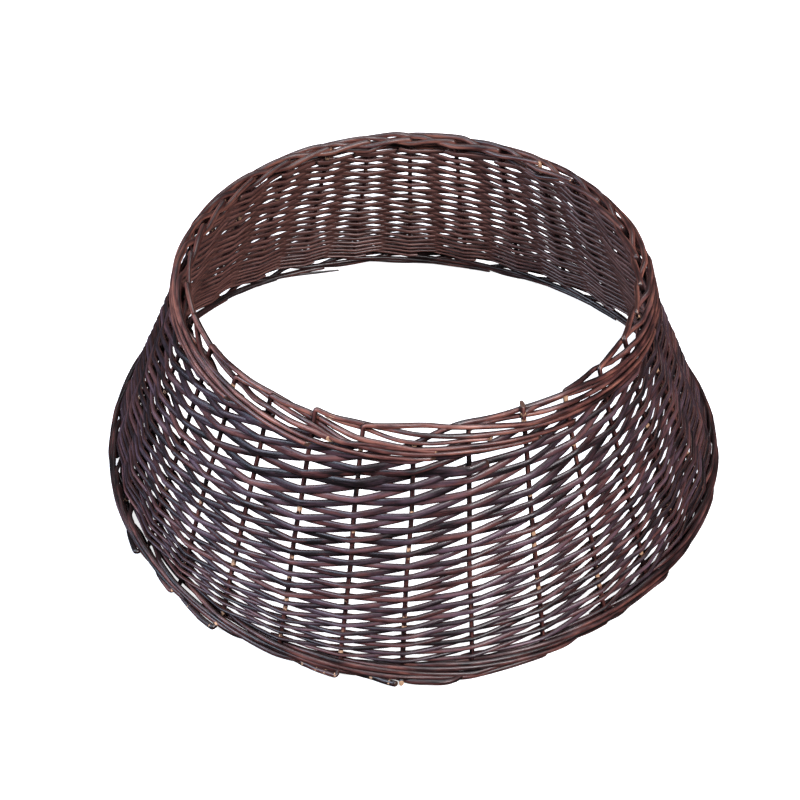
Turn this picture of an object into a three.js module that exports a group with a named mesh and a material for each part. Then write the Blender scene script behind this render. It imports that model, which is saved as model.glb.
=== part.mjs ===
// Round woven willow collar, open at the top and at the bottom, shaped as a truncated cone.
// Units are mm, +Z is up, the front of the object faces -Y.
// Azimuth runs from the front (0 degrees) towards +X, as seen from above anticlockwise.
import * as THREE from 'three';

// ---------------------------------------------------------------- driving dimensions
const STAKE_COUNT = 30;          // upright rods
const WALL_RADIUS = 290;         // radius of the wall's middle surface at REF_Z
const REF_Z = 8;
const WALL_TAPER = 0.402;        // radius lost per mm of height
const STAKE_SIDE = 4.2;          // section of an upright rod
const BORDER_SCALE = 0.93;       // the rods thin out a little where they form the borders

const FOOT_Z = 2.0;              // centre line of the bottom fold
const FOOT_RISE = 4.35;          // rise per bay of the bottom border
const FOOT_END = 3.3;            // bays covered by the bottom border run
const FOOT_FLAT = 0.3;           // level part of the first run, in bays
const HEAD_Z = 218.6;            // centre line of the top fold
const HEAD_DROP = 4.4;           // fall per bay of the top border
const HEAD_END = 6.4;            // bays covered by the top border run
const BORDER_OFFSET = 5.1;       // inside or outside offset of a border run at an upright
const FOOT_BULGE = 8.2;          // the bottom border swells out this far on the outside

const ROWS = 36;                 // rows of the side weave; each weaver climbs one row per bay
const WEAVER_OVERHANG = 0.46;    // how far a weaver runs past its first and last upright, in bays
const WEAVER_DEPTH = 3.3;        // thickness of a split weaver across the wall
const ROW_LIFT = 0.12;           // front passes sag and back passes rise by this share of a row
const ROW_FILL = 0.9;            // weaver width as a share of the row pitch
const PASS_CLEARANCE = 1.4;      // room left between a pass and the upright

// height of the weave's row number r
const ROW_TABLE = [
  [0, 19.9], [2, 26.4], [4, 33.2], [6, 40.6], [8, 48.3], [10, 56.5], [12, 65.4], [14, 74.6],
  [16, 83.9], [18, 93.6], [20, 103.6], [22, 113.8], [24, 124.2], [26, 134.8], [28, 146.2],
  [30, 158.2], [32, 170.2], [34, 182.0], [36, 193.0],
];
// how far the rows ride up or down at single uprights, counted from the front one; linear between
const ROW_RIDE = [
  [-15, 0], [-12, -1.5], [-8, -3], [-6, -4.5], [-4, -5.8], [-2, -5.5], [-1, -3], [0, -0.8], [1, 3.6],
  [2, 5.2], [3, 6.5], [4, 6.5], [5, 6], [7, 4.5], [9, 3], [12, 1], [15, 0],
];

// uprights whose fold at the foot stands out from the wall by this much, counted from the front
// one anticlockwise seen from above
const FOOT_FLARE = { 25: 6.5, 26: 5.5, 27: 8.5, 29: 7.5, 0: 10.5, 1: 9.0, 2: 4.0 };
const FLARE_FROM = 9.5;          // height at which such an upright leaves the wall
const HEAD_RISE = { 2: 2.5 };    // an upright that stands up above the border

// hand-woven irregularity: share of the radius, second and third harmonics at foot and head
const FOOT_OVAL = [0.00205, -0.00425, 0.00828, 0.0137];
const HEAD_OVAL = [-0.00298, -0.00143, -0.00045, 0.00002];

// azimuth offset of each upright from its even place, in degrees, at the foot and at the head
const LEAN_FOOT = [
  -1.6, -1.6, -0.4, 1.0, 0.6, -0.3, 1.6, 0.9, 0.2, -0.5, 0.3, 0.8, 0.1, -0.6, -0.2,
  0.5, 0.9, 0.4, -0.3, -0.7, 0.1, 0.6, 0.2, -0.4, 0.5, 1.6, 1.0, 0.4, 0.5, -0.3,
];
const LEAN_HEAD = [
  0.3, 0.5, 2.1, 1.8, 2.1, 2.7, 1.6, 0.6, -0.4, 0.2, 0.9, 0.3, -0.5, -0.1, 0.6,
  0.8, 0.2, -0.4, 0.1, 0.5, 0.9, -0.1, -0.3, 0.4, 1.0, 1.6, 1.0, 0.4, 0.5, 0.4,
];

// stained willow, from nearly black to copper
const TONES = {
  upright: [0x4a3029, 0x52352b, 0x43292a, 0x5a3a2e],
  weaver: [0x3a2a2d, 0x44302f, 0x4f3031, 0x352b30, 0x5a3434, 0x40292c],
};

// ---------------------------------------------------------------- the wall
const WALL_ANGLE = Math.atan(WALL_TAPER);
const COS_A = Math.cos(WALL_ANGLE);
const SIN_A = Math.sin(WALL_ANGLE);
const DEG = Math.PI / 180;

function oval(c, az) {
  const t = az - Math.PI / 2;                // polar angle in the XY plane
  return c[0] * Math.cos(2 * t) + c[1] * Math.sin(2 * t) + c[2] * Math.cos(3 * t) + c[3] * Math.sin(3 * t);
}

function wallRadius(az, z) {
  const up = (z - REF_Z) / (HEAD_Z - REF_Z);
  const even = WALL_RADIUS - WALL_TAPER * (z - REF_Z);
  return even + WALL_RADIUS * oval(FOOT_OVAL, az) * (1 - up) + 209 * oval(HEAD_OVAL, az) * up;
}

const outward = (az) => new THREE.Vector3(COS_A * Math.sin(az), -COS_A * Math.cos(az), SIN_A);
const radial = (az) => new THREE.Vector3(Math.sin(az), -Math.cos(az), 0);

function wallPoint(az, z, n) {
  const r = wallRadius(az, z);
  return new THREE.Vector3(r * Math.sin(az), -r * Math.cos(az), z).addScaledVector(outward(az), n);
}

// azimuth of upright number i (any whole number, it wraps round) at height z; an upright is
// straight between its two folds
function stakeAzimuth(i, z) {
  const k = ((i % STAKE_COUNT) + STAKE_COUNT) % STAKE_COUNT;
  const even = (360 / STAKE_COUNT) * k;
  const foot = wallPoint((even + LEAN_FOOT[k]) * DEG, FOOT_Z, 0);
  const head = wallPoint((even + LEAN_HEAD[k]) * DEG, HEAD_Z, 0);
  const at = foot.lerp(head, (z - FOOT_Z) / (HEAD_Z - FOOT_Z));
  return Math.atan2(at.x, -at.y);
}

// ---------------------------------------------------------------- rods
// A rod is swept along a polyline whose vertices carry their own outward direction.
class RodPath extends THREE.Curve {
  constructor(stations) {
    super();
    this.stations = stations;
  }

  getSpacedPoints() {
    return this.stations.map((s) => s.at.clone());
  }

  computeFrenetFrames() {
    const st = this.stations;
    const legs = [];
    for (let k = 0; k + 1 < st.length; k++) {
      legs.push(st[k + 1].at.clone().sub(st[k].at).normalize());
    }
    const tangents = [];
    const normals = [];
    const binormals = [];
    st.forEach((s, k) => {
      const before = legs[Math.max(0, k - 1)];
      const after = legs[Math.min(legs.length - 1, k)];
      const sideA = s.out.clone().cross(before).normalize();
      const sideB = s.out.clone().cross(after).normalize();
      const mitre = sideA.clone().add(sideB).divideScalar(1 + sideA.dot(sideB));
      tangents.push(before.clone().add(after).normalize());
      normals.push(mitre.multiplyScalar(s.size[1]));
      binormals.push(s.out.clone().multiplyScalar(s.size[0]));
    });
    return { tangents, normals, binormals };
  }
}

function rodGeometry(stations) {
  const h = 0.5;
  const section = new THREE.Shape([
    new THREE.Vector2(-h, -h), new THREE.Vector2(h, -h), new THREE.Vector2(h, h), new THREE.Vector2(-h, h),
  ]);
  return new THREE.ExtrudeGeometry(section, {
    steps: stations.length - 1,
    bevelEnabled: false,
    extrudePath: new RodPath(stations),
  });
}

function between(a, b, t) {
  return {
    at: a.at.clone().lerp(b.at, t),
    out: a.out.clone().lerp(b.out, t).normalize(),
    size: [a.size[0] + (b.size[0] - a.size[0]) * t, a.size[1] + (b.size[1] - a.size[1]) * t],
  };
}

// ---------------------------------------------------------------- uprights with both borders
// At the foot an upright folds to the left, passes inside its first neighbour and outside the
// next two. At the head it folds to the right, passes inside its first neighbour and then
// outside the next five, so the runs lie over one another as a band.
function stakeStations(i) {
  const full = [STAKE_SIDE, STAKE_SIDE];
  const thin = [STAKE_SIDE * BORDER_SCALE, STAKE_SIDE * BORDER_SCALE];
  const station = (k, z, n, size) => {
    const az = stakeAzimuth(k, z);
    return { at: wallPoint(az, z, n), out: outward(az), size };
  };
  const pass = (u, outside) => (u === 0 ? 0 : (u === 1 ? -BORDER_OFFSET : outside));
  const foot = (u) => station(i - u, FOOT_Z + FOOT_RISE * u, pass(u, FOOT_BULGE), thin);
  const head = (u) => station(i + u, HEAD_Z - HEAD_DROP * u, pass(u, BORDER_OFFSET), thin);

  const flare = FOOT_FLARE[i] || 0;
  const fold = station(i, FOOT_Z, flare, thin);
  fold.at.z = FOOT_Z;
  fold.out = radial(stakeAzimuth(i, FOOT_Z));
  fold.size = full;
  const inner = foot(1);
  const level = between(fold, inner, FOOT_FLAT);
  level.at.z = FOOT_Z;
  level.out = radial(Math.atan2(level.at.x, -level.at.y));
  level.size = [full[0], full[1]];
  const top = station(i, HEAD_Z + (HEAD_RISE[i] || 0), 0, full);

  const list = [between(foot(3), foot(4), FOOT_END - 3), foot(3), foot(2), inner, level, fold];
  if (flare) list.push(station(i, FLARE_FROM, 0, full));
  list.push(top);
  for (let u = 1; u < HEAD_END; u++) list.push(head(u));
  const last = Math.floor(HEAD_END);
  list.push(between(head(last), head(last + 1), HEAD_END - last));
  return list;
}

// ---------------------------------------------------------------- side weave
function lookUp(table, x) {
  let k = 0;
  while (k < table.length - 2 && x > table[k + 1][0]) k++;
  const [x0, y0] = table[k];
  const [x1, y1] = table[k + 1];
  return y0 + ((y1 - y0) * (x - x0)) / (x1 - x0);
}

// height of row r at upright i
function rowHeight(r, i) {
  const z = lookUp(ROW_TABLE, r);
  const half = STAKE_COUNT / 2;
  const place = ((((i + half) % STAKE_COUNT) + STAKE_COUNT) % STAKE_COUNT) - half;
  const fade = Math.min(1, Math.max(0, (z - 18) / 30)) * Math.min(1, Math.max(0, (188 - z) / 40));
  return z + lookUp(ROW_RIDE, place) * fade;
}

function rowPitch(r, i) {
  const at = Math.min(Math.max(r, 1), ROWS - 2);
  return (rowHeight(at + 1, i) - rowHeight(at - 1, i)) / 2;
}

// Every upright has a weaver of its own. It starts at the foot of that upright and climbs one row
// for every upright that it passes, in front of the even ones along its way and behind the odd
// ones, so at every upright the same rows lie in front.
function weaveStation(k, m) {
  const i = k + m;
  const pitch = rowPitch(m, i);
  const front = ((m % 2) + 2) % 2 === 0;
  const z = rowHeight(m, i) + (front ? -1 : 1) * ROW_LIFT * pitch;
  const az = stakeAzimuth(i, z);
  const reach = STAKE_SIDE / 2 + WEAVER_DEPTH / 2 + PASS_CLEARANCE;
  const size = [WEAVER_DEPTH, ROW_FILL * pitch];
  return { at: wallPoint(az, z, front ? reach : -(reach - 0.35)), out: outward(az), size };
}

function weaverStations(k) {
  const last = ROWS - 1;
  const list = [between(weaveStation(k, 0), weaveStation(k, -1), WEAVER_OVERHANG)];
  for (let m = 0; m <= last; m++) list.push(weaveStation(k, m));
  list.push(between(weaveStation(k, last), weaveStation(k, last + 1), WEAVER_OVERHANG));
  return list;
}

// ---------------------------------------------------------------- assembly
const collar = new THREE.Group();
collar.name = 'tree_collar';

function add(name, stations, tone, roughness) {
  const material = new THREE.MeshStandardMaterial({ color: tone, roughness, metalness: 0 });
  material.name = name;
  const mesh = new THREE.Mesh(rodGeometry(stations), material);
  mesh.name = name;
  collar.add(mesh);
}

const two = (n) => String(n).padStart(2, '0');

for (let i = 0; i < STAKE_COUNT; i++) {
  add(`stake_${two(i + 1)}`, stakeStations(i), TONES.upright[(i * 7) % TONES.upright.length], 0.5);
}

for (let k = 0; k < STAKE_COUNT; k++) {
  add(`weaver_${two(k + 1)}`, weaverStations(k), TONES.weaver[(k * 5) % TONES.weaver.length], 0.45);
}

// centre the collar on the origin and stand it on z = 0
collar.updateMatrixWorld(true);
const box = new THREE.Box3().setFromObject(collar);
const shift = [-(box.min.x + box.max.x) / 2, -(box.min.y + box.max.y) / 2, -box.min.z];
collar.children.forEach((mesh) => mesh.geometry.translate(shift[0], shift[1], shift[2]));

export default collar;
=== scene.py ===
"""A woven willow collar: thirty uprights whose ends form both borders, and thirty split weavers that
climb the wall, one from each upright. Every rod is a swept body of its own with a stained finish."""

import math

import bpy
import numpy as np
from mathutils import Matrix, Vector


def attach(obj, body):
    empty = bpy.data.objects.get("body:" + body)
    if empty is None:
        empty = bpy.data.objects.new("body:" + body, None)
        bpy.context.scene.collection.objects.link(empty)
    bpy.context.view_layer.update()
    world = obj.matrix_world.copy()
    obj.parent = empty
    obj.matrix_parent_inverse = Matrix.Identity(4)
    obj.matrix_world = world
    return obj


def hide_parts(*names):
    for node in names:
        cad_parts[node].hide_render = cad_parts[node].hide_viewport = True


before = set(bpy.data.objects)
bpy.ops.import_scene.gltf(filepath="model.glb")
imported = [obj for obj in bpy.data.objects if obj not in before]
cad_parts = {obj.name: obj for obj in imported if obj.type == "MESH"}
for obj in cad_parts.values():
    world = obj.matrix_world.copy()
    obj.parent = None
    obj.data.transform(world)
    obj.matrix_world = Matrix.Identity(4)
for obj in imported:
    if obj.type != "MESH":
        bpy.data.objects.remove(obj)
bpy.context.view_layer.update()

# ------------------------------------------------------------------ driving dimensions (mm)
STAKES = 30
WALL_RADIUS = 290.0
REF_Z = 8.0
WALL_TAPER = 0.402
FOOT_Z = 2.0
FOOT_RISE = 4.35
HEAD_Z = 218.6
BORDER_OFFSET = 5.1
FOOT_BULGE = 8.2
SHIFT = np.array([-1.9372, 6.5675, 0.1])      # from the wall's own axis to the part's origin
# height of each row at the front and at the back: the rows lie more evenly at the back
ROW_TABLE = np.array([
    [0, 18.9, 18.9], [2, 25.9, 25.2], [4, 33.1, 31.8], [6, 40.6, 38.6], [8, 48.3, 46.0], [10, 56.5, 54.2],
    [12, 65.4, 63.2], [14, 74.6, 73.0], [16, 83.9, 83.4], [18, 93.6, 94.2], [20, 103.6, 105.4],
    [22, 113.8, 116.6], [24, 124.2, 127.8], [26, 134.8, 139.0], [28, 146.3, 150.2], [30, 158.8, 161.6],
    [32, 171.6, 173.4], [34, 183.6, 184.8], [36, 194.0, 195.6], [38, 204.0, 206.0]])
# how far the rows ride up or down at single uprights, counted from the front one
ROW_RIDE = {-15: 0.0, -12: -1.5, -8: -3.0, -6: -4.5, -4: -5.8, -2: -5.5, -1: -3.0, 0: -0.8, 1: 3.6, 2: 5.2, 3: 6.5,
            4: 6.5, 5: 6.0, 7: 4.5, 9: 3.0, 12: 1.0, 15: 0.0}
ROWS = 36
FOOT_OVAL = [0.00205, -0.00425, 0.00828, 0.0137]
HEAD_OVAL = [-0.00298, -0.00143, -0.00045, 0.00002]
LEAN_FOOT = [
    -1.6, -1.6, -0.4, 1.0, 0.6, -0.3, 1.6, 0.9, 0.2, -0.5, 0.3, 0.8, 0.1, -0.6, -0.2,
    0.5, 0.9, 0.4, -0.3, -0.7, 0.1, 0.6, 0.2, -0.4, 0.5, 1.6, 1.0, 0.4, 0.5, -0.3]
LEAN_HEAD = [
    0.3, 0.5, 2.1, 1.8, 2.1, 2.7, 1.6, 0.6, -0.4, 0.2, 0.9, 0.3, -0.5, -0.1, 0.6,
    0.8, 0.2, -0.4, 0.1, 0.5, 0.9, -0.1, -0.3, 0.4, 1.0, 1.6, 1.0, 0.4, 0.5, 0.4]

STAKE_R = 1.95
HALF_ROD = 1.65           # half the thickness of a split weaver; it is wider than it is thick

# ------------------------------------------------------------------ the wall
WALL_ANGLE = math.atan(WALL_TAPER)
CA, SA = math.cos(WALL_ANGLE), math.sin(WALL_ANGLE)


def oval(c, az):
    t = az - math.pi / 2
    return c[0] * np.cos(2 * t) + c[1] * np.sin(2 * t) + c[2] * np.cos(3 * t) + c[3] * np.sin(3 * t)


def wall_radius(az, z):
    up = (z - REF_Z) / (HEAD_Z - REF_Z)
    return (WALL_RADIUS - WALL_TAPER * (z - REF_Z) + WALL_RADIUS * oval(FOOT_OVAL, az) * (1 - up)
            + 209 * oval(HEAD_OVAL, az) * up)


def outward(az):
    az = np.asarray(az, float)
    return np.stack([CA * np.sin(az), -CA * np.cos(az), np.full_like(az, SA)], -1)


def radial(az):
    az = np.asarray(az, float)
    return np.stack([np.sin(az), -np.cos(az), np.zeros_like(az)], -1)


def wall_point(az, z, n):
    az, z, n = np.broadcast_arrays(np.asarray(az, float), np.asarray(z, float), np.asarray(n, float))
    r = wall_radius(az, z)
    return np.stack([r * np.sin(az), -r * np.cos(az), z], -1) + outward(az) * n[..., None]


def _ends(k):
    even = 12.0 * k
    return (wall_point(math.radians(even + LEAN_FOOT[k]), FOOT_Z, 0.0),
            wall_point(math.radians(even + LEAN_HEAD[k]), HEAD_Z, 0.0))


ENDS = [_ends(k) for k in range(STAKES)]


def stake_azimuth(i, z):
    """Unwrapped azimuth of upright i, for arrays of whole numbers i and heights z."""
    i = np.asarray(i, int)
    z = np.asarray(z, float)
    k = i % STAKES
    foot = np.array([ENDS[a][0] for a in range(STAKES)])[k]
    head = np.array([ENDS[a][1] for a in range(STAKES)])[k]
    at = foot + (head - foot) * ((z - FOOT_Z) / (HEAD_Z - FOOT_Z))[..., None]
    az = np.arctan2(at[..., 0], -at[..., 1])
    want = np.radians(12.0 * i)
    return az + 2 * math.pi * np.round((want - az) / (2 * math.pi))


def azimuth(u, z):
    """Azimuth at a place u counted in uprights, between two uprights too."""
    u = np.asarray(u, float)
    low = np.floor(u).astype(int)
    t = u - low
    a, b = stake_azimuth(low, z), stake_azimuth(low + 1, z)
    return a + (b - a) * t


def row_height(r, u):
    """Height of row r at upright place u."""
    r = np.asarray(r, float)
    front = 0.5 + 0.5 * np.cos(2 * math.pi * np.asarray(u, float) / STAKES)
    a = np.interp(r, ROW_TABLE[:, 0], ROW_TABLE[:, 1])
    b = np.interp(r, ROW_TABLE[:, 0], ROW_TABLE[:, 2])
    z = a * front + b * (1 - front)
    z = np.where(r < 0, 18.9 + 3.2 * r, z)
    at = (np.asarray(u, float) + 15) % STAKES - 15
    places = sorted(ROW_RIDE)
    ride = np.interp(at, places, [ROW_RIDE[k] for k in places])
    return z + ride * np.clip((z - 18) / 30, 0, 1) * (1 - 0.55 * np.clip((z - 160) / 30, 0, 1))


def row_pitch(r, u):
    r = np.clip(r, 1, ROWS - 2)
    return (row_height(r + 1, u) - row_height(r - 1, u)) / 2


def ripple(s, seed, waves):
    """Smooth irregularity along a rod: sum of sines, waves = [(length, amplitude), ...]."""
    g = np.random.default_rng(seed)
    out = np.zeros_like(np.asarray(s, float))
    for length, amount in waves:
        out = out + amount * np.sin(2 * math.pi * (s / (length * g.uniform(0.8, 1.25)) + g.random()))
    return out


# ------------------------------------------------------------------ swept rods
def smooth_line(p, sigma):
    """Gaussian smoothing of an evenly sampled polyline, ends held."""
    if sigma <= 0:
        return p
    w = int(max(1, round(3 * sigma)))
    k = np.exp(-0.5 * (np.arange(-w, w + 1) / sigma) ** 2)
    k /= k.sum()
    a = np.concatenate([2 * p[0] - p[w:0:-1], p, 2 * p[-1] - p[-2:-w - 2:-1]])
    return np.stack([np.convolve(a[:, c], k, "valid") for c in range(p.shape[1])], -1)


def resample(cols, step):
    """cols has xyz first; returns it evenly spaced along its own length, with that length."""
    d = np.linalg.norm(np.diff(cols[:, :3], axis=0), axis=1)
    s = np.concatenate([[0], np.cumsum(d)])
    n = max(2, int(round(s[-1] / step)) + 1)
    q = np.linspace(0, s[-1], n)
    return np.stack([np.interp(q, s, cols[:, c]) for c in range(cols.shape[1])], -1), q


class Tube:
    """One swept length: an even polyline with columns x y z | out xyz | radius | dark | warm | cream.
    cuts is how slanted each end is cut, face the direction the cut looks in (0 is outward), and
    pale how much bare wood the cut shows."""

    def __init__(self, cols, sides=10, step=1.0, smooth=0.0, cuts=(0.6, 0.6), face=(None, None), pale=(0, 0),
                 longest=3.4, seed=0, squash=0.0, split=None):
        self.sides, self.seed = sides, seed
        self.cuts, self.face, self.pale, self.longest, self.squash = cuts, face, pale, longest, squash
        self.split = split
        cols, q = resample(cols, step)
        cols[:, :3] = smooth_line(cols[:, :3], smooth / step)
        self.cols, self.q = cols, q

    def arrays(self):
        p = self.cols[:, :3]
        n = len(p)
        tan = np.gradient(p, axis=0)
        tan /= np.linalg.norm(tan, axis=1)[:, None]
        # rings: closer together where the rod bends
        turn = np.concatenate([[0], np.arccos(np.clip((tan[1:] * tan[:-1]).sum(1), -1, 1))])
        gap = np.concatenate([[0], np.diff(self.q)])
        load = np.cumsum(gap / self.longest + turn / math.radians(11))
        count = max(3, int(math.ceil(load[-1])) + 1)
        pick = np.unique(np.searchsorted(load, np.linspace(0, load[-1], count)).clip(0, n - 1))
        p, tan, cols, q = p[pick], tan[pick], self.cols[pick], self.q[pick]
        out = cols[:, 3:6]
        e1 = out - (out * tan).sum(1)[:, None] * tan
        e1 /= np.linalg.norm(e1, axis=1)[:, None]
        e2 = np.cross(tan, e1)
        r = cols[:, 6]
        S = self.sides
        th = 2 * math.pi * np.arange(S) / S
        ct, st = np.cos(th), np.sin(th)
        g = np.random.default_rng(self.seed + 11)
        # a bark rod isn't a perfect cylinder: slow change of its section, and small bud scars
        oval_a = 1 + 0.05 * np.sin(q / 37.0 + g.random() * 6) + self.squash
        oval_b = 2 - oval_a
        if self.split is None:
            across = (r * oval_a)[:, None] * ct[None]
        else:
            # split rod: round bark side out, flatter wood side in
            bark_side, wood_side = self.split
            change = (1 + 0.10 * np.sin(q / 53.0 + g.random() * 6))[:, None]
            across = np.where(ct > 0, bark_side * ct, -wood_side * np.abs(ct) ** 0.55)[None] * change
        ring = (p[:, None] + across[..., None] * e1[:, None]
                + (r * oval_b)[:, None, None] * st[None, :, None] * e2[:, None])
        place = g.uniform(15, 45)
        while place < q[-1] - 8:
            c = g.integers(0, S)
            bump = np.exp(-((q - place) / 1.9) ** 2)[:, None] * np.exp(-(np.minimum(
                np.abs(np.arange(S) - c), S - np.abs(np.arange(S) - c)) / 1.1) ** 2)[None]
            centre = p[:, None]
            ring = centre + (ring - centre) * (1 + 0.2 * bump)[..., None]
            place += g.uniform(28, 85)
        # cut ends: a slightly smaller face set off along the rod, slanted
        cap = []
        for end, sign in ((0, -1.0), (-1, 1.0)):
            slant = self.cuts[0 if end == 0 else 1]
            a = self.face[0 if end == 0 else 1]
            a = g.uniform(0, 6.28) if a is None else a + math.pi
            lift = (0.35 + slant * r[end] * (1 + np.cos(th - a)))[:, None] * tan[end][None] * sign
            cap.append(p[end][None] + (ring[end] - p[end][None]) * 0.88 + lift)
        body = np.concatenate([cap[0][None], ring, cap[1][None]])
        m = len(body)
        verts = body.reshape(-1, 3)
        verts = np.concatenate([verts, cap[0].mean(0)[None], cap[1].mean(0)[None]])
        verts = (verts + SHIFT) / 1000.0
        verts[:, 2] = np.maximum(verts[:, 2], 0.0001)
        i0 = (np.arange(m - 1)[:, None] * S + np.arange(S)[None])
        i1 = (np.arange(m - 1)[:, None] * S + (np.arange(S)[None] + 1) % S)
        quads = np.stack([i0, i1, i1 + S, i0 + S], -1).reshape(-1, 4)
        a = np.arange(S)
        b = (a + 1) % S
        tri0 = np.stack([np.full(S, m * S), b, a], -1)
        tri1 = np.stack([np.full(S, m * S + 1), (m - 1) * S + a, (m - 1) * S + b], -1)
        nf = len(quads) + 2 * S
        smooth = np.ones(nf, bool)
        smooth[len(quads):] = False

        def spread(v, c0, c1):
            v = np.concatenate([[c0], v, [c1]])
            return np.concatenate([np.repeat(v, S), [c0], [c1]])
        tone = np.ones((len(verts), 4), np.float32)
        tone[:, 0] = spread(cols[:, 7], cols[0, 7], cols[-1, 7])
        tone[:, 1] = spread(cols[:, 8], cols[0, 8], cols[-1, 8])
        tone[:, 2] = spread(cols[:, 9], cols[0, 9], cols[-1, 9])
        cutmask = np.zeros(len(verts))
        cutmask[:S] = cutmask[(m - 1) * S:m * S] = 1
        cutmask[-2:] = 1
        tone[:, 3] = cutmask
        for e, rows in ((0, np.r_[0:S, len(verts) - 2]), (1, np.r_[(m - 1) * S:m * S, len(verts) - 1])):
            if self.pale[e] > 0:
                tone[rows, 2] = self.pale[e]
                tone[rows, 3] = 0.0
        qq = np.concatenate([[q[0] - 0.5], q, [q[-1] + 0.5]])
        rr = np.concatenate([[r[0]], r, [r[-1]]])
        bark = np.zeros((len(verts), 3), np.float32)
        off = g.uniform(-400, 400, 3)
        bark[:m * S, 0] = np.repeat(qq, S) + off[0]
        bark[:m * S, 1] = (rr[:, None] * ct[None]).ravel() + off[1]
        bark[:m * S, 2] = (rr[:, None] * st[None]).ravel() + off[2]
        bark[-2] = (qq[0] + off[0], off[1], off[2])
        bark[-1] = (qq[-1] + off[0], off[1], off[2])
        wood = np.zeros(len(verts), np.float32)
        if self.split is not None:
            wood[:m * S] = np.tile(np.clip(0.5 - 1.6 * ct, 0, 1), m)
        # painted shade: how far the colour darkens towards the rod's two edges across its width, one edge more than the
        # other, where rod lies against rod
        edge = np.zeros(len(verts), np.float32)
        edge[:m * S] = np.tile(np.abs(st) ** 1.9 * np.where(st < 0, 1.0, 0.78), m)
        n_loops = quads.size + tri0.size + tri1.size
        fu = np.zeros((n_loops, 2), np.float32)
        v_of = np.repeat(np.arange(m - 1), S)
        a_of = np.tile(np.arange(S), m - 1)
        scale_v = 1 / (2 * math.pi * float(r.mean()))
        fu[:len(quads) * 4, 0] = np.stack([a_of, a_of + 1, a_of + 1, a_of], -1).ravel() / S
        fu[:len(quads) * 4, 1] = (np.stack([qq[v_of], qq[v_of], qq[v_of + 1], qq[v_of + 1]], -1) * scale_v).ravel()
        sizes = np.concatenate([np.full(len(quads), 4), np.full(2 * S, 3)])
        return verts, np.concatenate([quads.ravel(), tri0.ravel(), tri1.ravel()]), sizes, smooth, tone, bark, fu, wood, edge


class Piece:
    """All the tubes that stand for one node, in one mesh."""

    def __init__(self, node, slot, tubes):
        self.node, self.slot, self.tubes = node, slot, tubes

    def build(self):
        got, base = [t.arrays() for t in self.tubes], 0
        loops = []
        for v, lp, *_ in got:
            loops.append(lp + base)
            base += len(v)
        verts, loops = np.concatenate([x[0] for x in got]), np.concatenate(loops)
        sizes = np.concatenate([x[2] for x in got])
        me = bpy.data.meshes.new(self.node + "_rod")
        me.vertices.add(len(verts))
        me.vertices.foreach_set("co", verts.astype(np.float32).ravel())
        me.loops.add(len(loops))
        me.loops.foreach_set("vertex_index", loops.astype(np.int32))
        me.polygons.add(len(sizes))
        me.polygons.foreach_set("loop_start", (np.cumsum(sizes) - sizes).astype(np.int32))
        me.polygons.foreach_set("use_smooth", np.concatenate([x[3] for x in got]))
        me.update(calc_edges=True)
        att = me.attributes.new("tone", "FLOAT_COLOR", "POINT")
        att.data.foreach_set("color", np.concatenate([x[4] for x in got]).ravel())
        att = me.attributes.new("bark", "FLOAT_VECTOR", "POINT")
        att.data.foreach_set("vector", np.concatenate([x[5] for x in got]).ravel())
        att = me.attributes.new("wood", "FLOAT", "POINT")
        att.data.foreach_set("value", np.concatenate([x[7] for x in got]))
        # edge: painted shade towards the rods' edges
        att = me.attributes.new("edge", "FLOAT", "POINT")
        att.data.foreach_set("value", np.concatenate([x[8] for x in got]))
        uv = me.uv_layers.new(name="UVMap")
        uv.data.foreach_set("uv", np.concatenate([x[6] for x in got]).ravel())
        ob = bpy.data.objects.new(self.node + "_rod", me)
        bpy.context.scene.collection.objects.link(ob)
        return ob


def columns(p, out, radius, dark, warm, cream):
    n = len(p)
    full = lambda v: np.broadcast_to(np.asarray(v, float), (n,))
    return np.concatenate([p, out, np.stack([full(radius), full(dark), full(warm), full(cream)], -1)], 1)


pieces = []

# ------------------------------------------------------------------ side weave
def weave_line(k, m, width):
    """Centre line of weaver k at crossings m: xyz, outward direction and half width of the rod. It
    starts at upright k and climbs one row a bay, in front of the even uprights along its way."""
    i = k + m
    pitch = row_pitch(m, i)
    half = 0.5 * 1.1 * pitch * width * (0.985 - 0.05 * np.cos(2 * math.pi * m))
    g = np.random.default_rng(900 + k)
    # each crossing sits a little high or low, and a little proud or deep
    base = np.floor(m).astype(int) + 4
    f = m - np.floor(m)
    jitter = g.normal(0, 1, 44)
    jit = jitter[base] * (1 - f) + jitter[base + 1] * f
    depth = g.normal(0, 1, 44)
    dep = depth[base] * (1 - f) + depth[base + 1] * f
    side = np.cos(math.pi * m)
    saw = np.where(np.floor(m) % 2 == 0, 1.0, -1.0) * (1 - 2 * (m - np.floor(m)))
    lift = 0.125 + 0.075 * np.cos(2 * math.pi * i / STAKES)
    z = row_height(m, i) - (0.12 * side + 0.88 * saw) * lift * pitch + jit * (0.13 - 0.03 * np.cos(2 * math.pi * i / STAKES)) * pitch
    az = azimuth(i, z)
    reach = STAKE_R + HALF_ROD + 0.2
    n = reach * saw + dep * 0.18
    if k in OUTSIDE_END:
        free = np.clip((m - (OUTSIDE_END[k] - 1.0)) / 0.7, 0, 1)
        n = n + 3.0 * free
        z = z - 3.6 * free
    return wall_point(az, z, n), outward(az), half


# a weaver whose thick end was left outside, cut short of the border
OUTSIDE_END = {27: 34.27}


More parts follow.
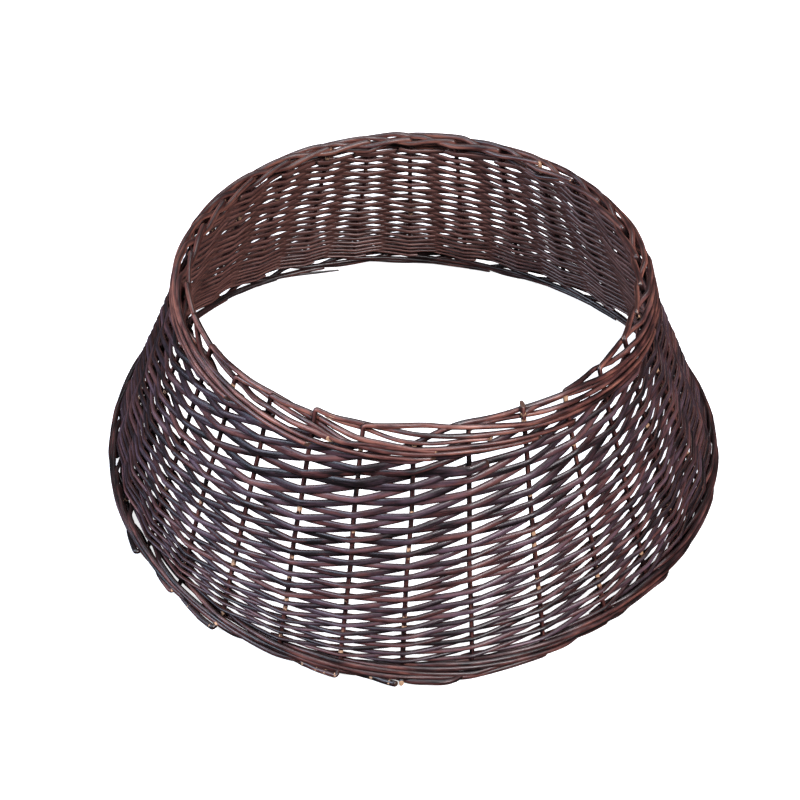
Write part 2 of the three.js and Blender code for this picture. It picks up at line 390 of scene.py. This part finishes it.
def add_weavers():
    for k in range(STAKES):
        seed = 100 + k
        g = np.random.default_rng(seed)
        # the thin end is tucked behind an upright at the foot, the thick end inside under the border
        a = -1.12 - 0.1 * g.random()
        b = OUTSIDE_END.get(k, 37.1 + 0.25 * g.random())
        m = np.arange(a, b, 0.02)
        s = m * 52.0
        shape = 0.97 + 0.07 * (m - a) / (b - a)
        shape = shape + ripple(s, seed + 1, [(420, 0.05), (160, 0.07), (60, 0.03)])
        if k in OUTSIDE_END:
            shape = shape + 0.42 * np.clip((m - (b - 4.0)) / 3.0, 0, 1)
        p, out, half = weave_line(k, m, shape)
        thin = 0.72 + 0.28 * np.clip((m - a) / 2.0, 0, 1)
        p = p + np.array([0, 0, 1.0]) * ripple(s, seed + 2, [(140, 0.25), (31, 0.05)])[:, None]
        p = p + out * ripple(s, seed + 3, [(90, 0.12), (33, 0.06)])[:, None]
        dark = g.uniform(0.16, 0.84) + ripple(s, seed + 4, [(700, 0.14), (240, 0.09), (90, 0.06)])
        warm = g.uniform(-0.15, 0.75) + ripple(s, seed + 5, [(600, 0.2), (170, 0.14)])
        if k in OUTSIDE_END:
            dark, warm = dark - 0.12, warm - 0.6
        cols = columns(p, out, half * thin, dark, np.clip(warm, 0, 1), 0.0)
        pieces.append(Piece(f"weaver_{k + 1:02d}", "weaver_willow", [
            Tube(cols, sides=12, step=1.0, smooth=1.3, cuts=(0.2, 0.3), longest=3.6, seed=seed,
                 split=(HALF_ROD * 1.12, HALF_ROD * 0.88))]))


# ------------------------------------------------------------------ uprights with their border ends
# where single uprights differ at the head: z of the fold, and the run as (place in uprights from the
# fold, drop below HEAD_Z, offset from the wall); the rest follow HEAD_RUN
HEAD_RUN = [(0, 0.6, 0), (0.5, 1.0, -2.0), (1, 3.4, -4.9), (1.4, 5.0, -1.5), (2, 7.2, 5.2), (3, 11.6, 6.2), (4, 16.2, 6.2),
            (5, 20.8, 6.0), (6, 25.4, 5.8), (7, 29.8, 5.2), (7.6, 32.0, 2.0)]
# round the back the runs lie higher and stand further out
HEAD_BACK = [(0, 0.2, 0), (0.5, 1.2, -2.4), (1, 3.0, -4.6), (1.4, 3.2, -1.0), (1.8, 2.8, 4.8), (2.3, 3.4, 7.0), (3, 6.8, 8.2),
             (4, 11.0, 7.8), (5, 15.4, 7.0), (6, 19.8, 6.4), (7, 24.2, 6.0), (7.6, 26.5, 4.0)]
# some runs pass inside again at one upright on their way
DIVE = {4: {5, 12, 18}, 5: {7, 15, 20}}
HEAD = {
    22: dict(end=4.45, run=[(0, 0, 0), (0.5, 3.0, -2.2), (1, 7.5, -4.9), (2, 12.6, 5.0), (3, 16.2, 5.3), (4, 19.4, 5.4),
                            (4.6, 22.0, 5.8)], r=2.4, warm=0.5, pale=1.0),
    23: dict(end=7.3, run=[(0, 0, 0), (0.5, 2.6, -2.2), (1, 7.0, -4.9), (2, 10.6, 5.0), (3, 13.6, 5.2), (4, 17.6, 5.8),
                           (5, 21.8, 6.0), (6, 24.6, 5.8), (7, 25.6, 5.2), (7.6, 27.0, 2.0)], r=2.45, warm=1.1),
    24: dict(end=4.36, run=[(0, 0, 0), (0.6, 3.2, -3.0), (1, 6.4, -4.6), (1.83, 10.7, -5), (2.26, 9.6, -2.5),
                            (2.5, 10.2, 1), (2.69, 10.6, 3), (2.91, 10.2, 4.5), (3.1, 10.2, 5), (3.35, 12.0, 5.2),
                            (3.58, 13.4, 5.4), (3.79, 13.9, 5.4), (4.0, 14.2, 5.6), (4.21, 15.2, 5.8), (4.5, 18.2, 6)],
             r=2.8, warm=0.75, pale=1.0),
    25: dict(end=7.2, run=[(0, 0, 0), (0.5, 0.6, 0.2), (1.0, -0.4, 1.2), (1.5, 0.8, 0.4), (2, 2.2, -3.0), (2.4, 4.4, -4.8),
                           (3.0, 10.0, -4.8), (3.4, 14.6, -1.0), (3.8, 18.0, 4.6), (4.4, 20.0, 5.8), (5, 21.4, 6.0),
                           (6, 21.8, 5.8), (7, 25.2, 5.0), (7.6, 27.0, 2.0)], r=2.55, warm=0.95),
    26: dict(top=213.6, end=7.0, r=2.35, warm=1.0,
             run=[(0, 5.2, 0), (0.24, 5.4, -2), (0.57, 4.9, -4), (0.85, 6.6, -5), (1.2, 8.0, -3), (1.48, 8.2, 0),
                  (1.74, 8.5, 3), (1.97, 9.6, 4.6), (2.19, 12.2, 5), (2.37, 15.2, 5.2), (2.54, 17.6, 5.4),
                  (2.71, 18.0, 5.4), (2.99, 17.0, 5.2), (3.27, 16.0, 5), (3.7, 17.0, 5.4),
                  (4.2, 17.6, 5.8), (5, 17.6, 6.0), (6, 21.2, 5.8), (7, 26.0, 5.0), (7.6, 29.0, 2.0)]),
    27: dict(top=216.4, end=3.37, r=2.5, warm=1.05, pale=1.0,
             run=[(0, 2.2, 0), (0.21, 3.8, -1), (0.47, 4.0, -2.5), (0.75, 4.5, -4), (0.99, 5.9, -5), (1.32, 8.6, -3),
                  (1.55, 9.9, 0), (1.78, 11.6, 3), (1.98, 12.8, 4.6), (2.17, 13.3, 5), (2.36, 13.7, 5.2),
                  (2.55, 14.6, 5.2), (2.74, 15.9, 5.2), (2.92, 17.1, 5.4), (3.11, 18.3, 5.6), (3.5, 19.9, 5.6)]),
    28: dict(top=220.6, end=7.2, r=2.4, warm=0.6,
             run=[(0, -1.4, 0), (0.31, 1.4, -1), (0.51, 2.1, -2), (0.73, 2.4, -3.5), (0.93, 3.4, -4.8), (1.2, 4.4, -5),
                  (1.5, 5.0, -3.0), (1.75, 5.4, 0.0), (2.0, 6.0, 3.6), (2.4, 7.2, 5.0), (3.0, 9.6, 5.2),
                  (3.5, 11.8, 5.2), (4.0, 14.6, 5.6), (5.0, 18.4, 6.0), (6.0, 22.6, 5.8),
                  (7, 27.4, 5.0), (7.6, 30.6, 2.0)],
             half=[(0.36, 3.4, -2.0), (0.6, 5.2, -3.4), (0.93, 7.0, -5.0), (1.05, 7.6, -5.2), (1.33, 9.6, -2.5), (1.53, 10.6, 1),
                   (1.73, 11.6, 3.6), (1.92, 12.0, 4.8), (2.1, 12.5, 5.2), (2.28, 13.1, 5.2), (2.46, 13.1, 5.2),
                   (2.64, 12.8, 5.4), (3.01, 12.8, 5.6), (3.3, 14.6, 5.6)]),
    29: dict(top=215.4, end=7.3, r=2.5, warm=1.0,
             run=[(0, 3.2, 0), (0.2, 2.6, -0.5), (0.51, 1.8, -1.5), (0.9, 1.4, -4), (1.1, 1.4, -4.8), (1.29, 1.4, -4),
                  (1.47, 1.2, 0), (1.65, 1.4, 3), (2.01, 2.4, 5), (2.35, 4.6, 5), (2.7, 8.0, 5), (2.97, 10.9, 5),
                  (3.17, 12.2, 5.2), (3.44, 12.8, 5.4), (3.74, 13.2, 5.4), (4.1, 14.6, 5.6),
                  (5.0, 18.6, 6.0), (6.0, 23.2, 5.8), (7, 28.0, 5.0), (7.6, 32.6, 2.0)]),
    0: dict(top=204.0, end=7.1, r=2.55, warm=0.5,
            run=[(0, 14.6, 0), (0.12, 13.0, 0), (0.28, 8.0, 1.5), (0.46, 4.6, 2), (0.65, 2.4, 1), (0.8, 1.1, -0.5),
                 (1.04, 0.5, -1.5), (1.22, 0.8, -2), (1.41, 1.2, -3), (1.6, 1.5, -4), (1.8, 1.5, -4.6),
                 (2.04, 1.3, -5), (2.32, 1.2, -3), (2.64, 0.7, 0), (2.84, 0.2, 3), (3.1, 0.5, 4), (3.5, 2.6, 4.6),
                 (4.0, 7.0, 5.4), (5.0, 14.4, 6.0), (6.0, 21.0, 6.0), (7, 28.4, 5.4), (7.6, 32.6, 2.0)]),
    1: dict(top=213.4, end=7.2, r=2.35, warm=0.5,
            run=[(0, 5.6, 0), (0.23, 4.2, -0.5), (0.4, 3.6, -2), (0.59, 4.1, -3.5), (0.79, 5.4, -4.6), (1.03, 7.2, -5),
                 (1.2, 8.1, -4), (1.38, 8.3, -1), (1.56, 7.8, 3), (1.78, 8.0, 4.6), (1.96, 8.8, 5), (2.26, 10.4, 5),
                 (3.0, 13.6, 5.4), (4.0, 17.4, 5.8), (5.0, 21.6, 6.0), (6.0, 26.2, 5.8), (7, 30.6, 5.0), (7.6, 32.6, 2.0)]),
    2: dict(top=222.6, end=7.2, r=2.3, warm=0.6, stub=True,
            run=[(0.02, 4.0, -1.2), (0.3, 2.6, -2.4), (1, 5.6, -4.9), (2, 11.0, 5), (3, 14.2, 5.4), (4, 17.8, 5.8), (5, 22.0, 6.0),
                 (6, 26.4, 5.8), (7, 30.6, 5.0), (7.6, 32.6, 2.0)]),
}
# the foot run as (place in uprights from the fold, z, offset from the wall), and those that differ
FOOT_RUN = [(0, 2.8, 0.6), (0.3, 3.0, -0.6), (0.7, 4.0, -3.8), (1, 5.2, -4.6), (1.35, 5.2, -2.0), (1.7, 4.6, 4.6),
            (2, 5.0, 6.0), (3, 9.2, 6.6), (4, 13.4, 6.4), (4.5, 14.4, 4.2), (5, 12.6, -4.0), (5.6, 10.4, -4.8),
            (6.2, 8.3, -5.2), (6.8, 7.8, -6.6), (7.8, 7.6, -7.0)]
# one thin end has come away from the wall inside
FOOT_LOOSE = {23: [(5.2, 9.4, -4.6), (5.7, 6.0, -6.6), (6.2, 4.2, -9.4), (6.66, 3.6, -12.6)]}
FOOT = {
    27: [(0, 2.6, 10.8), (0.2, 2.6, 10.5), (0.45, 2.6, 7.6), (0.68, 2.6, 5.0), (0.9, 2.7, 2.6)],
    29: [(0, 2.6, 9.8), (0.3, 2.6, 6.4), (0.56, 2.6, 3.0), (0.8, 2.8, -1.2)],
    0: [(0.08, 2.6, 13.2), (0.25, 2.6, 9.2), (0.45, 2.6, 4.4), (0.73, 2.6, -1.4)],
    1: [(0, 5.6, 0.0), (0.12, 4.4, 3.6), (0.21, 3.2, 8.0), (0.32, 2.6, 12.2), (0.45, 2.6, 12.6), (0.64, 2.6, 11.2),
        (0.84, 2.6, 8.8)],
    2: [(0, 2.6, 3.0), (0.36, 2.6, 3.6), (0.65, 2.6, 5.6), (0.86, 2.7, 7.2), (1.06, 3.0, 7.4), (1.33, 3.6, 6.4)],
    26: [(0, 2.6, 7.7), (0.3, 2.6, 5.4), (0.7, 2.8, 0.0)],
    25: [(0, 2.6, 9.6), (0.3, 2.6, 6.4), (0.7, 2.8, 0.0)],
}


def run(keys, u, soft=0.10):
    """Smooth passage through (place, height, offset) keys."""
    keys = np.asarray(keys, float)
    step = 0.01
    w = int(round(3 * soft / step))
    grid = np.arange(keys[0, 0] - 3 * soft, max(keys[-1, 0], u.max()) + 3 * soft + step, step)
    k = np.exp(-0.5 * (np.arange(-w, w + 1) * step / soft) ** 2)
    k /= k.sum()
    out = []
    for c in (1, 2):
        v = np.interp(grid, keys[:, 0], keys[:, c])
        # carry the first slope on past the start, so that smoothing leaves the fold in place
        slope = (keys[1, c] - keys[0, c]) / (keys[1, 0] - keys[0, 0])
        v = np.where(grid < keys[0, 0], keys[0, c] + slope * (grid - keys[0, 0]), v)
        v = np.convolve(np.pad(v, w, mode="edge"), k, "valid")
        out.append(np.interp(u, grid, v))
    return out


def add_stakes():
    for i in range(STAKES):
        seed = 500 + i
        g = np.random.default_rng(seed)
        own = HEAD.get(i, {})
        # foot: folded to the left and laid in the band outside the wall
        shape = list(FOOT.get(i, FOOT_RUN[:2]))
        shape += [k for k in FOOT_RUN if k[0] > shape[-1][0] + 0.3]
        if i in FOOT_LOOSE:
            shape = [k for k in shape if k[0] < 5.0] + FOOT_LOOSE[i]
        shift = g.normal(0, 0.8 if i in (2, 3, 4, 5, 6, 7) else 0.6, (len(shape), 2)) * np.array([[min(1.0, k[0])] for k in shape])
        shape = [(k[0], k[1] + d[0], k[2] + d[1]) for k, d in zip(shape, shift)]
        end_u = 7.3 + g.uniform(-0.3, 0.5) if i not in FOOT_LOOSE else FOOT_LOOSE[i][-1][0]
        u = np.arange(end_u, shape[0][0], -0.015)
        z, n = run(shape, u, 0.07)
        z = np.maximum(z, 2.55)
        n = n + 3.0 * np.exp(-(((i - u) % STAKES - 24.5) / 1.3) ** 2) * np.clip((n - 1.0) / 3.0, 0, 1)
        az = azimuth(i - u, z)
        foot = np.concatenate([wall_point(az, z, n), outward(az)], 1)
        foot_r = g.uniform(2.35, 2.65) - 0.06 * u + ripple(u, seed + 8, [(1.9, 0.1)])
        if i in FOOT_LOOSE:
            foot_r = foot_r - 0.75 * np.clip((u - 4.0) / 2.4, 0, 1)
        # the upright; its lowest part steps out under the band to the fold
        top = own.get("top", HEAD_Z + g.uniform(-1.3, 0.6))
        kick = shape[0][2] if i != 0 else 8.4
        zz = np.concatenate([np.linspace(2.6 if i == 0 else 3.0, 9.0, 12)[:-1], np.linspace(9.0, top - 2.2, 100)])
        if i == 1:
            zz = zz[zz > 6.4]
        az = stake_azimuth(np.full(len(zz), i), zz)
        wob = ripple(zz, seed + 1, [(120, 0.45), (45, 0.15)]) * np.clip(zz / 20, 0, 1)
        if i != 1:
            wob = wob + kick * np.clip((9.0 - zz) / 6.2, 0, 1)
        bow = ripple(zz, seed + 2, [(200, 0.8), (70, 0.25)])
        stem = wall_point(az, zz, wob)
        tangent = np.stack([np.cos(az), np.sin(az), np.zeros_like(az)], -1)
        fade = np.sin(np.pi * (zz - FOOT_Z) / (HEAD_Z - FOOT_Z))
        stem = stem + tangent * (bow * fade)[:, None]
        stem = np.concatenate([stem, outward(az)], 1)
        stem_r = np.interp(zz, [0, 25, 200, 220], [2.3, 2.15, 2.15, 2.7 if own.get("stub") else 2.25])
        # head: folded to the right
        end_u = own.get("end", 7.15 + g.uniform(-0.3, 0.3))
        keys = own.get("run")
        far = 0.0
        if keys is None:
            # from the front shape to the back shape and round again
            far = float(np.clip((9.5 - abs((i + 3.5) % STAKES - 16)) / 2.0, 0, 1))
            us = sorted({k[0] for k in HEAD_BACK} | {k[0] for k in HEAD_RUN})
            near_, back_ = np.array(HEAD_RUN, float), np.array(HEAD_BACK, float)
            mean = [(u_, *(float(np.interp(u_, near_[:, 0], near_[:, c]) * (1 - far)
                                 + np.interp(u_, back_[:, 0], back_[:, c]) * far) for c in (1, 2))) for u_ in us]
            dz = g.normal(0, 0.8, len(us)) * np.minimum(1, us)
            dn = g.normal(0, 0.35, len(us)) * np.minimum(1, us)
            keys = [(k[0], k[1] + a + (HEAD_Z - top if k[0] == 0 else 0),
                     k[2] + b if i not in DIVE.get(k[0], ()) else -4.8) for k, a, b in zip(mean, dz, dn)]
        u2 = np.arange(keys[0][0] + 0.02, end_u, 0.015)
        z, n = run(keys, u2, 0.09)
        z = HEAD_Z - z
        flank = np.exp(-(((i + u2) % STAKES - 7.3) / 2.4) ** 2) + np.exp(-(((i + u2) % STAKES - 22.4) / 2.6) ** 2)
        n = n + 1.6 * flank * np.clip((n - 1.0) / 3.0, 0, 1)
        az = azimuth(i + u2, z)
        head = np.concatenate([wall_point(az, z, n), outward(az)], 1)
        head_r = own.get("r", g.uniform(2.35, 2.75)) - 0.045 * u2 + ripple(u2, seed + 5, [(1.7, 0.12)])
        warm_head = own.get("warm", g.uniform(0.25, 0.95))
        warm_foot = g.uniform(0.05, 0.75)
        name = f"stake_{i + 1:02d}"
        pale = own.get("pale", 0.8 if g.random() < 0.35 else 0)
        parts = []
        if i == 0:
            # the foot is broken off: the upright ends in a torn cut, the run lies loose beside it
            parts.append((foot, foot_r, -u, (0, 0), (0.6, 0.2)))
            parts.append((np.concatenate([stem, head]), np.concatenate([stem_r, head_r]),
                          np.concatenate([zz * 0, u2]), (0.95, pale), (0.7, 1.3)))
        elif own.get("stub"):
            # the head is snapped: the upright stands up as a stub, and its run starts behind it
            parts.append((np.concatenate([foot, stem]), np.concatenate([foot_r, stem_r]),
                          np.concatenate([-u, zz * 0]), (0, 0), (0.6, 0.9)))
            parts.append((head, head_r, u2, (0, pale), (0.4, 1.3)))
        else:
            parts.append((np.concatenate([foot, stem, head]), np.concatenate([foot_r, stem_r, head_r]),
                          np.concatenate([-u, zz * 0, u2]), (0, pale), (0.6, 1.3)))
        if "half" in own:
            # the run has split lengthways and half of it takes a path of its own
            u3 = np.arange(own["half"][0][0], own["half"][-1][0], 0.015)
            z, n = run(own["half"], u3, 0.07)
            z = HEAD_Z - z
            az = azimuth(i + u3, z)
            parts.append((np.concatenate([wall_point(az, z, n), outward(az)], 1), 2.0 - 0.05 * u3, u3,
                          (0.6, 0.5), (2.0, 1.6)))
        tubes = []
        for part, (pts, rad, where, ends, cuts) in enumerate(parts):
            s = np.concatenate([[0], np.cumsum(np.linalg.norm(np.diff(pts[:, :3], axis=0), axis=1))])
            dark = 0.45 + 0.2 * (g.random() - 0.5) + ripple(s, seed + 6, [(200, 0.12), (60, 0.08)])
            dark = dark - 0.24 * (where == 0) - 0.12 * (where < 0) + (0.1 + 0.2 * far) * (where > 0)
            warm = np.where(where > 0, warm_head, np.where(where < 0, warm_foot, 0.75))
            warm = warm + 0.14 * (where > 0) + ripple(s, seed + 7, [(150, 0.2), (50, 0.12)])
            # bark skinned at the folds; elsewhere cream spots along the stems, seen in the gaps of the weave, partly
            # skinned bark and partly painted highlight
            cream = 0.5 * np.exp(-((np.abs(where)) / 0.05) ** 2) * (where != 0) * (g.random() < 0.6)
            scar_and_painted_glint = np.zeros_like(s)
            many = {28: 80, 27: 60, 29: 60, 0: 46, 1: 26, 2: 56, 3: 44}.get(i, g.integers(26, 48))
            for _ in range(many):
                c = g.uniform(s[0], s[-1])
                scar_and_painted_glint = np.maximum(scar_and_painted_glint, g.uniform(0.45, 0.95) * np.exp(-((s - c) / g.uniform(1.2, 2.8)) ** 2))
            # stem spots: partly skinned bark, partly painted highlight in the gaps
            cream = np.maximum(cream, scar_and_painted_glint * (where == 0))
            if i in (27, 29, 0):
                # bark peeled along the foot that stands out
                peel = np.clip(ripple(s, seed + 9, [(9, 0.5), (4, 0.3)]) + 0.15, 0, 1)
                cream = np.maximum(cream, 0.62 * peel * (where < -0.02) * (where > -0.7))
            if i == 29:
                cream = np.maximum(cream, 0.62 * np.exp(-((where + 0.55) / 0.05) ** 2))
            if i == 0 and part == 0:
                cream = np.maximum(cream, 0.75 * np.exp(-((where + 0.46) / 0.04) ** 2))
            if i == 28:
                cream = np.maximum(cream, 0.5 * np.exp(-((where - 0.36) / 0.07) ** 2))
            cols = columns(pts[:, :3], pts[:, 3:6], rad, dark, np.clip(warm, 0, 1), cream)
            tubes.append(Tube(cols, sides=12, step=0.7, smooth=1.2, cuts=cuts, face=(0.0, 0.2), pale=ends,
                              longest=3.2, seed=seed + 60 * part))
        pieces.append(Piece(name, "upright_willow", tubes))


add_weavers()
add_stakes()


# ------------------------------------------------------------------ finish of the rods
def willow(name, deep, mid, red, copper, gloss, fibre_mid=(0.094, 0.0340, 0.0270), fibre_light=(0.270, 0.124, 0.100)):
    """Stained and lacquered willow bark. The rod's own columns steer it: how light, how red, where
    the bark is skinned, and where the rod is cut."""
    mat = bpy.data.materials.new(name)
    mat.use_nodes = True
    nt = mat.node_tree
    nt.nodes.clear()
    N = nt.nodes.new
    L = nt.links.new
    out = N("ShaderNodeOutputMaterial")
    bsdf = N("ShaderNodeBsdfPrincipled")
    L(bsdf.outputs[0], out.inputs["Surface"])
    tone = N("ShaderNodeAttribute"); tone.attribute_name = "tone"
    sep = N("ShaderNodeSeparateColor")
    L(tone.outputs["Color"], sep.inputs[0])
    bark = N("ShaderNodeAttribute"); bark.attribute_name = "bark"

    def noise(scale, size, detail, rough=0.55):
        m = N("ShaderNodeMapping")
        m.inputs["Scale"].default_value = scale
        L(bark.outputs["Vector"], m.inputs["Vector"])
        t = N("ShaderNodeTexNoise")
        t.inputs["Scale"].default_value = size
        t.inputs["Detail"].default_value = detail
        t.inputs["Roughness"].default_value = rough
        L(m.outputs[0], t.inputs["Vector"])
        return t.outputs["Fac"]

    def math_(op, a, b=None, clamp=False):
        m = N("ShaderNodeMath"); m.operation = op; m.use_clamp = clamp
        for k, v in ((0, a), (1, b)):
            if v is None:
                continue
            if isinstance(v, (int, float)):
                m.inputs[k].default_value = v
            else:
                L(v, m.inputs[k])
        return m.outputs[0]

    def ramp(v, stops):
        r = N("ShaderNodeValToRGB")
        el = r.color_ramp.elements
        el[0].position, el[0].color = stops[0][0], (*stops[0][1], 1)
        el[1].position, el[1].color = stops[-1][0], (*stops[-1][1], 1)
        for pos, col in stops[1:-1]:
            e = el.new(pos); e.color = (*col, 1)
        L(v, r.inputs[0])
        return r.outputs[0]

    def step(v, lo, hi):
        m = N("ShaderNodeMapRange"); m.interpolation_type = "SMOOTHSTEP"
        m.inputs["From Min"].default_value = lo
        m.inputs["From Max"].default_value = hi
        L(v, m.inputs["Value"])
        return m.outputs[0]

    def mix(f, a, b):
        m = N("ShaderNodeMix"); m.data_type = "RGBA"; m.blend_type = "MIX"
        if isinstance(f, float):
            m.inputs[0].default_value = f
        else:
            L(f, m.inputs[0])
        for k, v in ((6, a), (7, b)):
            if isinstance(v, tuple):
                m.inputs[k].default_value = (*v, 1)
            else:
                L(v, m.inputs[k])
        return m.outputs[2]

    streak = noise((0.035, 0.5, 0.5), 1.0, 5, 0.62)       # long fibre streaks
    patch = noise((0.045, 0.14, 0.14), 1.0, 3, 0.55)      # slow stain patches
    fleck = noise((0.3, 0.85, 0.85), 1.0, 3, 0.6)         # small marks across the bark
    level = math_("ADD", math_("MULTIPLY", sep.outputs[0], 0.85), math_("MULTIPLY", streak, 1.8))
    level = math_("ADD", level, math_("MULTIPLY", patch, 1.4))
    level = math_("SUBTRACT", level, 1.58, True)
    base = ramp(level, [(0.0, deep), (0.42, mid), (1.0, tuple(min(1, c * 3.3) for c in mid))])
    blot = noise((0.04, 0.12, 0.12), 1.7, 2, 0.5)         # where the stain took redder
    redf = math_("ADD", math_("MULTIPLY", sep.outputs[1], 1.0), math_("MULTIPLY", blot, 1.7))
    redf = step(redf, 0.85, 1.75)
    base = mix(redf, base, ramp(level, [(0.0, deep), (0.4, red), (1.0, copper)]))
    flecks = step(fleck, 0.63, 0.74)
    base = mix(math_("MULTIPLY", flecks, 0.35), base, copper)
    pits = step(noise((0.16, 0.6, 0.6), 1.0, 2, 0.5), 0.62, 0.72)
    base = mix(math_("MULTIPLY", pits, 0.45), base, deep)
    # painted shade: the colour darkens towards the rods' edges, where rod lies against rod and shade falls between them
    painted_edge_shade = N("ShaderNodeAttribute"); painted_edge_shade.attribute_name = "edge"
    base = mix(math_("MULTIPLY", painted_edge_shade.outputs["Fac"], 0.96), base, deep)
    # skinned spots, and the stem spots that are partly painted highlight
    bare = math_("ADD", sep.outputs[2], math_("MULTIPLY", math_("SUBTRACT", fleck, 0.5), 0.9))
    bare = step(bare, 0.42, 0.55)
    base = mix(bare, base, (0.54, 0.33, 0.20))
    # split side: stained wood fibre, browner and more streaked than the bark
    side = N("ShaderNodeAttribute"); side.attribute_name = "wood"
    fibre = noise((0.03, 1.6, 1.6), 1.0, 4, 0.65)
    grain = ramp(math_("ADD", math_("MULTIPLY", fibre, 1.0), math_("MULTIPLY", patch, 0.35)),
                 [(0.41, deep), (0.62, fibre_mid), (0.82, fibre_light)])
    base = mix(math_("MULTIPLY", side.outputs["Fac"], 0.85), base, grain)
    # cut ends: wood with darker pith, stained
    base = mix(math_("MULTIPLY", tone.outputs["Alpha"], 0.9), base, (0.075, 0.04, 0.028))
    L(base, bsdf.inputs["Base Color"])
    rough = math_("ADD", math_("MULTIPLY", streak, 0.22), gloss - 0.08)
    rough = math_("ADD", rough, math_("MULTIPLY", bare, 0.25), True)
    L(rough, bsdf.inputs["Roughness"])
    bsdf.inputs["Specular IOR Level"].default_value = 0.40
    bsdf.inputs["Coat Weight"].default_value = 0.22
    bsdf.inputs["Coat Roughness"].default_value = 0.30
    height = math_("ADD", math_("MULTIPLY", streak, 0.7), math_("MULTIPLY", noise((0.12, 1.3, 1.3), 1.0, 3, 0.6), 0.5))
    height = math_("SUBTRACT", height, math_("MULTIPLY", pits, 0.3))
    bump = N("ShaderNodeBump")
    bump.inputs["Strength"].default_value = 0.45
    bump.inputs["Distance"].default_value = 0.0006
    L(height, bump.inputs["Height"])
    L(bump.outputs[0], bsdf.inputs["Normal"])
    return mat


MATERIALS = {
    "upright_willow": willow("upright_willow", (0.0050, 0.0024, 0.0024), (0.046, 0.0195, 0.0200),
                             (0.098, 0.031, 0.0270), (0.35, 0.140, 0.100), 0.34),
    "weaver_willow": willow("weaver_willow", (0.0052, 0.0027, 0.0033), (0.0415, 0.0240, 0.0320),
                            (0.086, 0.0265, 0.0245), (0.19, 0.080, 0.072), 0.36),
}

for entry in pieces:
    piece = entry.build()
    piece.data.materials.append(MATERIALS[entry.slot])
    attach(piece, "root")
    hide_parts(entry.node)


# ------------------------------------------------------------------ floor
def floor():
    n, half = 48, 6.0
    g = np.linspace(-half, half, n)
    x, y = np.meshgrid(g, g, indexing="ij")
    r = np.hypot(x, y)
    z = np.zeros_like(x) - 0.0002
    verts = np.stack([x, y, z], -1).reshape(-1, 3)
    i = np.arange(n - 1)
    a = (i[:, None] * n + i[None]).ravel()
    faces = np.stack([a, a + n, a + n + 1, a + 1], -1)
    me = bpy.data.meshes.new("floor")
    me.from_pydata(verts.tolist(), [], faces.tolist())
    ob = bpy.data.objects.new("floor", me)
    bpy.context.scene.collection.objects.link(ob)
    mat = bpy.data.materials.new("floor_paint")
    mat.use_nodes = True
    nt = mat.node_tree
    b = nt.nodes["Principled BSDF"]
    t = nt.nodes.new("ShaderNodeTexNoise")
    t.inputs["Scale"].default_value = 3.0
    c = nt.nodes.new("ShaderNodeValToRGB")
    c.color_ramp.elements[0].color = (0.93, 0.93, 0.935, 1)
    c.color_ramp.elements[1].color = (0.95, 0.95, 0.95, 1)
    nt.links.new(t.outputs["Fac"], c.inputs[0])
    nt.links.new(c.outputs[0], b.inputs["Base Color"])
    b.inputs["Roughness"].default_value = 0.85
    b.inputs["Specular IOR Level"].default_value = 0.1
    nt.links.new(c.outputs[0], b.inputs["Emission Color"])
    b.inputs["Emission Strength"].default_value = 0.86
    me.materials.append(mat)
    # the white floor is seen, but doesn't light the rods from below
    ob.visible_diffuse = False
    ob.visible_glossy = False


floor()

# ------------------------------------------------------------------ light
scene = bpy.context.scene
world = bpy.data.worlds.new("studio")
scene.world = world
world.use_nodes = True
bg = world.node_tree.nodes["Background"]
bg.inputs["Color"].default_value = (0.97, 0.985, 1.0, 1)
bg.inputs["Strength"].default_value = 0.055


def softbox(name, at, to, size, power, color=(1, 1, 1)):
    light = bpy.data.lights.new(name, "AREA")
    light.shape = "RECTANGLE"
    light.size, light.size_y = size
    light.energy = power
    light.color = color
    ob = bpy.data.objects.new(name, light)
    scene.collection.objects.link(ob)
    ob.location = at
    ob.rotation_euler = (Vector(to) - Vector(at)).to_track_quat("-Z", "Y").to_euler()
    return ob


softbox("key", (1.2, -1.8, 2.5), (0, 0, 0.1), (1.0, 0.8), 122, (1.0, 0.965, 1.0))
softbox("side", (-2.0, -1.0, 2.1), (0, 0, 0.1), (1.2, 1.2), 66, (0.86, 0.97, 1.2))
softbox("left", (-2.3, -0.1, 0.7), (0, 0, 0.1), (0.8, 0.8), 11, (0.74, 0.95, 1.28))
softbox("top", (0.0, 0.6, 3.0), (0, 0, 0.1), (1.8, 1.8), 62, (0.99, 0.98, 1.05))

scene.view_settings.view_transform = "Standard"
scene.view_settings.look = "None"
scene.view_settings.exposure = 0.0
scene.view_settings.gamma = 1.0

# ------------------------------------------------------------------ camera
F_PX = 1804.243
pitch, yaw, roll = math.radians(42.919), 0.00041, 0.00768
fw = Vector((math.sin(yaw) * math.cos(pitch), math.cos(yaw) * math.cos(pitch), -math.sin(pitch)))
rt = fw.cross(Vector((0, 0, 1))).normalized()
up = rt.cross(fw)
c, s = math.cos(roll), math.sin(roll)
right, top = c * rt + s * up, -s * rt + c * up
cam_data = bpy.data.cameras.new("camera")
cam_data.sensor_width = 36.0
cam_data.sensor_fit = "HORIZONTAL"
cam_data.lens = 36.0 * F_PX / 800.0
cam_data.clip_start = 0.01
cam_data.clip_end = 100
cam = bpy.data.objects.new("camera", cam_data)
scene.collection.objects.link(cam)
where = (np.array([-12.04, -1279.98, 1245.86]) + SHIFT) / 1000.0
rot = Matrix((right, top, -fw)).transposed().to_4x4()
rot.translation = Vector(where)
cam.matrix_world = rot
scene.camera = cam
